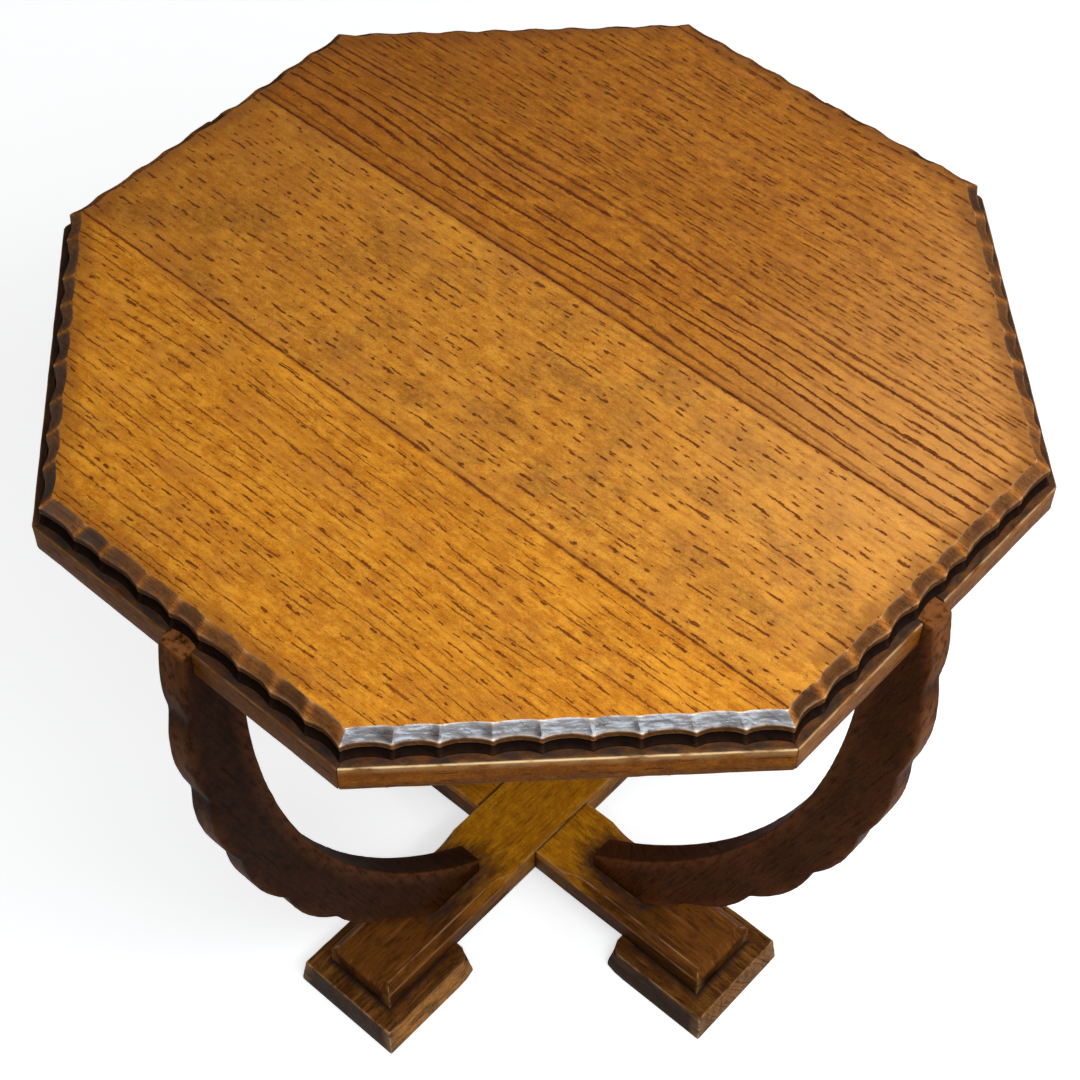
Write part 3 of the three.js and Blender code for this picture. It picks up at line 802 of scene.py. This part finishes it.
def steel():
    n = Nodes("tarnished_steel")
    place = n.node("TexCoord").outputs["Object"]
    tarnish = n.ramp(n.noise(place, 3, 0.6, 900), 0.35, 0.7)
    n.set(Base_Color=n.mix(tarnish, (130, 126, 118), (62, 52, 44)),
          Roughness=n.plus(0.35, n.times(tarnish, 0.3)), Metallic=0.9)
    return n.material


def top_shading(n):
    """Stains on the top, tan patches and dirt towards the rim, with painted shade darkening the left end and
    a painted sheen paling the right end.
    """
    along, across = n.parts(n.grain)[:2]
    warm = n.patches((32, 20, 20), 0.46, 0.7, 3, 0.6, (7, 2, 6))
    n.cover((176, 108, 48), warm, 0.34)
    middle = n.times(n.ramp(across, -0.1, -0.08), n.ramp(across, 0.035, 0.01))
    smoke = n.patches((36, 24, 20), 0.48, 0.66, 3, 0.6, (1, 5, 3))
    smoke = n.times(smoke, n.plus(n.times(middle, 0.7), 0.3))
    n.cover((132, 84, 32), smoke, 0.26)
    soot = n.ramp(n.clouds((3.4, 2.4, 3), 3, 0.7), 0.46, 0.6)
    n.cover((88, 56, 28), n.times(smoke, soot), 0.36)
    # painted shade: the left end of the middle and rear boards is darkened, shade from lamps on the right
    # painted in
    painted_shade_left_end = n.times(n.ramp(along, -0.06, -0.24), n.ramp(across, -0.095, -0.085))
    n.cover((128, 62, 16), painted_shade_left_end, 0.36)
    # painted sheen: the right end is paled and blued, a reflection painted into the colour
    pale = n.times(n.ramp(along, 0.02, 0.2), n.ramp(across, -0.1, 0.06))
    n.cover((236, 168, 92), pale, 0.4)
    patchy = n.times(n.clouds((20, 12, 20), 3, 0.6), 1.1)
    rim = n.ramp(n.plus(n.attribute("rim"), patchy), 0.95, 1.5)
    n.cover((122, 70, 26), rim, 0.5)


def arm_dirt_and_shade(n):
    """Gold where the arms cross and browner outwards, darker around the toes and along the crossing, and
    painted shade on the flanks, most on those facing left.
    """
    along, across, height = n.parts(n.node("VectorMath", {0: n.grain}, operation="ABSOLUTE").outputs[0])
    outward = n.plus(along, n.times(n.clouds((30, 12, 20)), 0.03))
    n.cover((88, 47, 24), n.ramp(outward, 0.05, 0.11), 0.86)
    smear = n.patches((26, 9, 10), 0.45, 0.6, 3, 0.65, (3, 8, 1))
    n.cover((56, 30, 17), n.times(smear, n.ramp(outward, 0.03, 0.075)), 0.72)
    streak = n.patches((45, 3.5, 10), 0.48, 0.7, 3, 0.6, (6, 6, 2))
    n.cover((162, 98, 46), n.times(streak, n.ramp(outward, 0.04, 0.1)), 0.5)
    # painted shade: the flanks below the chamfers are darkened, those facing left most
    flank = n.ramp(height, ARM_TOP - 4 * MM, ARM_TOP - 7 * MM)
    n.cover((44, 25, 13), flank, n.attribute("shade"))
    toe_start = leg_inner(ARM_TOP + TOE_FACE)
    centre = (toe_start + HEEL_REACH) / 2, 0, ARM_TOP
    toe = n.box_distance(n.grain, centre, ((HEEL_REACH - toe_start) / 2, LEG_THICKNESS / 2, 6 * MM))
    half = ARM_WIDTH / 2
    beside = n.most([n.ramp(across, half - 1.6 * MM, half - 0.3 * MM), n.attribute("under")])
    beside = n.times(beside, n.ramp(along, half + 2 * MM, half + 0.3 * MM))
    fray = n.patches((6, 4, 4), 0.25, 0.7, 3, 0.6, (1, 4, 2))
    fray = n.plus(n.times(fray, 0.7), 0.3)
    n.cover((46, 41, 41), n.ramp(toe, 14 * MM, 0.5 * MM), fray)
    n.cover((34, 20, 12), beside, 0.8)


def foot_dirt(n):
    """Long darker and paler streaks."""
    dark = n.patches((30, 7, 12), 0.46, 0.62, 3, 0.65, (9, 2, 4))
    n.cover((56, 32, 18), dark, 0.55)
    pale = n.patches((30, 3, 6), 0.5, 0.68, 3, 0.6, (2, 6, 8))
    n.cover((176, 116, 52), pale, 0.4)


PORE = (106, 46, 8)
FRONT_LINE, REAR_LINE = (FRONT_JOINT, 0.9), (REAR_JOINT, 1.0)
TOP_LOOK = {"spots": 1.0, "roughness": 0.38, "specular": 0.1, "extra": top_shading}
top_materials = {
    "front": oak(
        "oak_top_front", [(238, 160, 46), (208, 128, 28), (154, 82, 15), PORE],
        [(5.6, 20, 0.7, 0.66, 0.72), (6.4, 7, 1.0, 0.22, 0.85), (3.4, 4, 0.6, 0.05, 0.6)],
        seed=1, halo=0.36, ray=0.5, joints=[FRONT_LINE], **TOP_LOOK | {"spots": 0.9}),
    "middle": oak(
        "oak_top_middle", [(230, 156, 50), (202, 126, 32), (150, 84, 18), PORE],
        [(6.4, 8, 1.1, 0.38, 0.86), (5.8, 5, 0.85, 0.18, 0.8)],
        seed=2, halo=0.42, ray=0.4, joints=[FRONT_LINE, REAR_LINE], **TOP_LOOK | {"specular": 0.14}),
    "rear": oak(
        "oak_top_rear", [(206, 130, 32), (176, 102, 20), (122, 63, 12), PORE],
        [(7.6, 26, 1.4, 1.0, 0.9, 0.034, 0.09), (6.6, 10, 0.8, 0.26, 0.7, 0.037, 0.12),
         (5.4, 9, 1.0, 0.44, 0.8, 0.085, 0.3), (4.8, 6, 0.8, 0.24, 0.7, 0.08, 0.3)],
        seed=3, halo=0.55, ray=0.25, joints=[REAR_LINE], **TOP_LOOK),
}
PLAIN_ROWS = [(4.6, 14, 0.8, 0.36, 0.6), (3.1, 9, 0.6, 0.2, 0.5)]
FINE_ROWS = [(3.4, 18, 0.7, 0.36, 0.4), (2.3, 11, 0.5, 0.25, 0.35)]
# the front bevel: its near-white colour for rubbed places paints the highlight lines along its arrises
polished_oak = oak(
    "oak_edge_polished", [(72, 46, 32), (52, 32, 22), (34, 20, 14), (26, 14, 8)], PLAIN_ROWS, seed=4,
    roughness=0.2, specular=1.0, coat=0.3, matt=0.45, sheen=(0.8, 0.9, 1.0, 1), worn_and_highlight=(255, 232, 214),
    grime=(24, 14, 9))
edge_oak = oak(
    "oak_edge", [(200, 124, 48), (154, 90, 36), (90, 52, 26), (60, 34, 16)], FINE_ROWS, seed=4,
    roughness=0.5, specular=0.0, worn_and_highlight=(226, 172, 122), grime=(42, 26, 19), dust=(76, 68, 64))
wall_oak = oak(
    "oak_wall", [(46, 30, 23), (34, 22, 18), (23, 15, 13), (30, 17, 10)], PLAIN_ROWS, seed=5,
    roughness=0.5, specular=0.0, worn_and_highlight=(130, 84, 54), grime=(18, 12, 10))
frame_oak = oak(
    "oak_frame", [(156, 92, 20), (128, 70, 14), (88, 46, 10), (84, 42, 10)], PLAIN_ROWS, seed=6,
    worn_and_highlight=(248, 212, 156), grime=(40, 24, 12), dust=(46, 40, 38))
leg_oak = oak(
    "oak_leg", [(58, 29, 10), (42, 20, 7), (27, 12, 4), (14, 7, 3)], FINE_ROWS, seed=7,
    roughness=0.5, specular=0.01, worn_and_highlight=(134, 80, 42), grime=(20, 12, 7), tone=(104, 54, 20))
arm_oak = oak(
    "oak_arm", [(216, 144, 20), (182, 112, 14), (124, 70, 12), (78, 42, 10)], FINE_ROWS, seed=8,
    worn_and_highlight=(200, 150, 100), grime=(36, 23, 14), extra=arm_dirt_and_shade)
foot_oak = oak(
    "oak_foot", [(132, 82, 34), (100, 58, 22), (64, 36, 16), (44, 24, 10)], PLAIN_ROWS, seed=9,
    worn_and_highlight=(212, 166, 116), grime=(44, 34, 30), tone=(222, 150, 70), extra=foot_dirt)
screw_steel = steel()


# -------- putting it together


def give_grain(obj, angle, lift=0.0):
    """Grain coordinates along, across and through a piece whose length runs at that angle."""
    local = turned(positions(obj), -angle)
    store(obj, "grain", local + [0, 0, lift])
    return local


def finish_piece(obj, slot, node, *materials, angle=32):
    obj.data.materials.clear()
    for material in materials:
        obj.data.materials.append(material)
    smooth(obj, angle)
    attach(obj, "root")
    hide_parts(node)


def read(obj, name):
    values = np.zeros(len(obj.data.vertices))
    obj.data.attributes[name].data.foreach_get("value", values)
    return values


def near(a, b, width):
    """1 where a is b, falling to 0 over about twice the width, in mm."""
    return np.exp(-(((a - b) / (width * MM)) ** 2))


def fading(distance, reach):
    """1 at nought or less, falling to 0 at the reach, in mm."""
    return np.clip(1 - distance / (reach * MM), 0, 1)


EDGE_SLOT, WALL_SLOT, POLISHED_SLOT, UNDERSIDE_SLOT = 1, 2, 3, 4


def edge_slot(polygon, at):
    """Which material a face of a board takes, by its station in the profile. The flat of the top keeps 0."""
    slot = 0
    if at > FLAT and polygon.normal.z < 0.995:
        side = SIDES[round(8 * atan2(polygon.center.y, polygon.center.x) / tau) % 8]
        slot = POLISHED_SLOT if side == "front" and at < BAND + 0.5 else EDGE_SLOT
        if at > WALL:
            slot = WALL_SLOT
    if polygon.normal.z < -0.5 or abs(polygon.normal.z) < 0.2 and at < 5:
        slot = UNDERSIDE_SLOT if polygon.center.z < LEDGE_Z + 0.1 * MM else WALL_SLOT
    return slot


def dress_board(name, board):
    """A board with rubbed ridges along its edge, paler at the front with a painted highlight, dirty scoops
    darker on the upright band and wall, and dusty grey patches with a painted sheen on the scoops at the
    sides.
    """
    give_grain(board, BOARD_GRAIN)
    p = positions(board)
    x, y = p[:, 0], p[:, 1]
    apothem = np.max([x * cos(facing(s)) + y * sin(facing(s)) for s in SIDES], axis=0)
    rim = fading(EDGE - 8 * MM - apothem, 18)
    store(board, "rim", rim * np.where(y < -0.2, 0.4, 1))
    level, ridge, worn_and_highlight, dirt = [read(board, layer) for layer in ("level", "ridge", "wear", "dirt")]
    # painted highlight: the front sector, facing the window lamp, gets paler arrises and none of the painted
    # sheen
    front = np.exp(-((np.degrees(np.arctan2(x, -y)) / 24) ** 6))
    store(board, "wear", worn_and_highlight * (0.5 + 0.5 * ridge) * (0.65 + 0.35 * front))
    dirt = np.where(level > BAND, np.maximum(dirt, 0.8 * (1 - 0.4 * ridge)), dirt)
    store(board, "grime", np.where(level > WALL, 0.75 * (1 - ridge), np.where(level > FLAT, dirt, 0)))
    # painted sheen: grey-blue patches on the side scoops, most on the left, stand for dusty film and
    # reflection together
    dust = 0.05 + np.where(x < 0, 0.8, 0.25) * np.abs(x / EDGE) ** 4
    dust = np.where(y > 0.1, 0, dust * (1 - ridge) * (1 - front))
    store(board, "dust", np.where((level > FLAT) & (level < WALL), dust, 0))
    materials = top_materials[name], edge_oak, wall_oak, polished_oak, frame_oak
    finish_piece(board, "top_oak", "top_board_" + name, *materials)
    for polygon in board.data.polygons:
        polygon.material_index = edge_slot(polygon, np.mean([level[v] for v in polygon.vertices]))


def dress_rail(side):
    """A rail paler along its upper arris, rubbed and with a painted highlight strongest at the front, grey
    on the ledge, and painted shade on the sides away from the lamps.
    """
    rail = build_rail(side)
    reach, _, z = turned(positions(rail), -facing(side)).T
    give_grain(rail, facing(side) + pi / 2, SIDES.index(side))
    # painted highlight: the arris is paler on the sides that face the lamps
    rubbed = {"front": 1.0, "front_right": 0.4}.get(side, 0.1)
    arris = near(reach, FRAME_OUTER - 0.35 * MM, 0.6) * near(z, LEDGE_Z - 0.35 * MM, 0.6)
    store(rail, "wear", rubbed * arris)
    store(rail, "dust", (z > LEDGE_Z - 0.2 * MM) * (reach < FRAME_OUTER - 0.8 * MM) * 1.0)
    # painted shade: the rails at the left and back, turned from the lamps, are darkened; the bottom edge is
    # darker too
    shade = {"front_left": 0.45, "left": 0.4, "back_left": 0.4, "back": 0.3}.get(side, 0.0)
    store(rail, "grime", np.maximum(fading(z - RAIL_Z, 5) * 0.45, shade))
    finish_piece(rail, "frame_oak", "rail_" + side, frame_oak)


def dress_leg(corner):
    """A dark leg with its lobes paler, rubbed and with a painted highlight strongest on the right, its
    notches dirty, and painted light warming the right legs and the flanks towards the foot.
    """
    leg = build_leg(corner)
    seed = CORNERS.index(corner)
    x, y, z = turned(positions(leg), -facing(corner)).T
    thick = np.abs(y)
    tilt = atan2(leg_top.x - leg_heel.x, leg_top.y - leg_heel.y)
    along = z * cos(tilt) + x * sin(tilt)
    across = -z * sin(tilt) + x * cos(tilt)
    store(leg, "grain", np.column_stack([along, across, y]) + 0.7 * (1 + seed))
    flank = (thick > LEG_THICKNESS / 2 - 0.5 * MM) * fading(z - ARM_TOP, 260)
    # painted light: the right legs, nearer the lamps, and the lower flanks, below the top's shadow, are
    # warmed
    warm = {"front_right": 0.55, "back_right": 0.5}.get(corner, 0.0)
    store(leg, "tone", np.clip(warm + 0.3 * flank, 0, 1))
    radius = np.hypot(x - leg_centre.x, z - leg_centre.y)
    outerness = np.clip((radius - (LEG_RADIUS - LEG_LOBE_DEPTH - 2 * MM)) / (4 * MM), 0, 1)
    flat_outer = np.clip(1.4 - thick / (LEG_THICKNESS / 2), 0.25, 1)
    end = (z > LEDGE_Z - 2 * MM) * 0.9
    # painted highlight: a pale line along the inner arris
    inner_arris = near(radius, LEG_RADIUS - LEG_WIDTH + 0.6 * MM, 0.9)
    inner_arris *= near(thick, LEG_THICKNESS / 2, 0.8)
    end = np.maximum(end, 0.45 * inner_arris)
    notch = read(leg, "notch")
    # painted highlight: the lobes are paler on the legs at the right, which face the lamps
    rubbed = 0.9 if corner.endswith("right") else 0.55
    store(leg, "wear", np.maximum(outerness * flat_outer * (1 - notch) * rubbed, end))
    store(leg, "grime", np.maximum(fading(z - ARM_TOP, 3), notch * outerness * 0.6))
    finish_piece(leg, "leg_oak", "leg_" + corner, leg_oak)


def dress_arm(name, corner, notch):
    """An arm with its arrises rubbed and painted shade on its flanks, the left one most."""
    arm = build_arm("arm_board_" + name, corner, notch)
    local = give_grain(arm, facing(corner))
    x, y, z = np.abs(local[:, 0]), np.abs(local[:, 1]), local[:, 2]
    depth = arm_chamfer(x)
    half = ARM_WIDTH / 2
    inner_line = near(half - y, depth, 0.35) * near(z, ARM_TOP, 0.4)
    outer_line = near(y, half, 0.35) * near(ARM_TOP - z, depth, 0.4)
    hip = near(half - y, ARM_TOP - z, 0.5) * near(ARM_LENGTH / 2 - x, ARM_TOP - z, 0.5)
    hip *= z < ARM_TOP - 0.2 * MM
    upright = near(y, half, 0.5) * near(x, ARM_LENGTH / 2, 0.6)
    store(arm, "wear", np.clip(0.8 * inner_line + 0.55 * outer_line + hip + 0.7 * upright, 0, 1))
    store(arm, "grime", 0.8 * fading(z - ARM_Z, 5) * (x > ARM_WIDTH))
    store(arm, "under", np.full(len(x), 1.0 if notch == "above" else 0.0))
    # painted shade: the flank facing left is darkened more than the one facing right
    left = local[:, 1] * copysign(1, sin(facing(corner))) > 0
    store(arm, "shade", np.where(left, 0.8, 0.3))
    finish_piece(arm, "base_oak", "arm_" + name, arm_oak, angle=24)


def dress_foot(corner):
    """A foot rubbed along its outer edges, with painted light on its right flank and painted shade on its
    left.
    """
    foot = build_foot(corner)
    local = give_grain(foot, facing(corner), 0.3 * CORNERS.index(corner)) - [FOOT_REACH, 0, 0]
    x, y, z = local.T
    span = np.maximum(np.abs(x), np.abs(y))
    edge = near(span, FOOT_TOP / 2, 0.6) * near(z, ARM_Z, 0.6)
    corners = near(np.abs(x), np.abs(y), 0.9) * (span > FOOT_TOP / 2 - MM) * (x > 0)
    store(foot, "wear", np.clip(0.7 * edge + 0.9 * corners, 0, 1))
    contact = fading(span - ARM_WIDTH / 2, 3.2) * (z > ARM_Z - 0.5 * MM)
    flank = z < ARM_Z - 0.7 * MM
    # painted light on the flank facing right, most on the front left foot, and painted shade on the flank
    # facing left
    left, right, _ = turned(local, facing(corner) + radians(135)).T
    outside = FOOT_TOP / 2 - 1.5 * MM
    store(foot, "tone", (0.95 if corner == "front_left" else 0.35) * flank * (right > outside))
    painted_side_shade = 0.85 * flank * (left > outside)
    store(foot, "grime", np.clip(contact + painted_side_shade + 0.4 * fading(z, 5), 0, 1))
    finish_piece(foot, "base_oak", "foot_" + corner, foot_oak, angle=26)


for name, board in build_top():
    dress_board(name, board)
for side in SIDES:
    dress_rail(side)
for corner in CORNERS:
    dress_leg(corner)
dress_arm("upper", "back_right", "below")
dress_arm("lower", "back_left", "above")
for corner in CORNERS:
    dress_foot(corner)
for name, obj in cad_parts.items():
    if name.startswith("screw_"):
        obj.data.materials.clear()
        obj.data.materials.append(screw_steel)

# -------- floor, light and camera


def stage_material():
    """Pale, and lifted a little for rays that show the background, so that it keeps its shadow."""
    n = Nodes("studio_white")
    path = n.node("LightPath")
    seen = n.plus(path.outputs["Is Camera Ray"], path.outputs["Is Glossy Ray"])
    seen = n.maths("ADD", seen, path.outputs["Is Transmission Ray"], True)
    n.set(Base_Color=(0.86, 0.86, 0.86, 1), Roughness=0.9, Specular_IOR_Level=0.0,
          Emission_Color=(1, 1, 1, 1), Emission_Strength=n.times(seen, 0.62))
    return n.material


def backdrop():
    """A round floor whose rim sweeps up into a wall."""
    profile = [(0.02, 0), (1.0, 0), (3.0, 0), (3.6, 0.02), (4.1, 0.25), (4.3, 0.7), (4.35, 1.6), (4.35, 2.6)]
    count = 96
    points, faces = lofted([circle(radius, height, count) for radius, height in profile])
    caps = 2
    mesh = bpy.data.meshes.new("studio_sweep")
    mesh.from_pydata([tuple(p) for p in points], [], [tuple(range(count))] + faces[:-caps])
    mesh.shade_smooth()
    mesh.materials.append(stage_material())
    linked("studio_sweep", mesh)


def softbox(name, place, target, width, height, power, colour=(1, 1, 1)):
    """A rectangular lamp at a place, facing the target, unseen by the camera."""
    lamp = bpy.data.lights.new(name, "AREA")
    lamp.shape = "RECTANGLE"
    lamp.size, lamp.size_y = width, height
    lamp.energy = power
    lamp.color = colour
    obj = linked(name, lamp)
    obj.location = place
    obj.rotation_euler = (Vector(target) - Vector(place)).to_track_quat("-Z", "Y").to_euler()
    obj.visible_camera = False


backdrop()
softbox("window", (0.36, -0.57, 1.2), (0.04, -0.1, 0.46), width=1.3, height=0.42, power=12.2,
        colour=(0.92, 0.965, 1.0))
softbox("room", (0.9, 1.5, 2.3), (0, 0, 0.46), width=1.6, height=1.0, power=7.0)

world = bpy.data.worlds.new("studio")
bpy.context.scene.world = world
world.use_nodes = True
sky = world.node_tree.nodes["Background"].inputs
sky["Color"].default_value = (0.98, 0.99, 1.0, 1)
sky["Strength"].default_value = 0.22

# the photo's angle: from the front, 3.8 degrees to the left, and from high above
azimuth, elevation, roll = radians(3.82), radians(51.53), radians(0.78)
aim = Vector((0.0063, 0.0574, TOP_Z / 2))
distance = 1.2889
camera_data = bpy.data.cameras.new("camera")
camera_data.sensor_width = 36
camera_data.lens = 75.16
camera = linked("camera", camera_data)
turn = Matrix.Rotation(-azimuth, 4, "Z") @ Matrix.Rotation(pi / 2 - elevation, 4, "X")
turn @= Matrix.Rotation(roll, 4, "Z")
camera.matrix_world = Matrix.Translation(aim) @ turn @ Matrix.Translation((0, 0, distance))
bpy.context.scene.camera = camera
bpy.context.scene.view_settings.view_transform = "Standard"
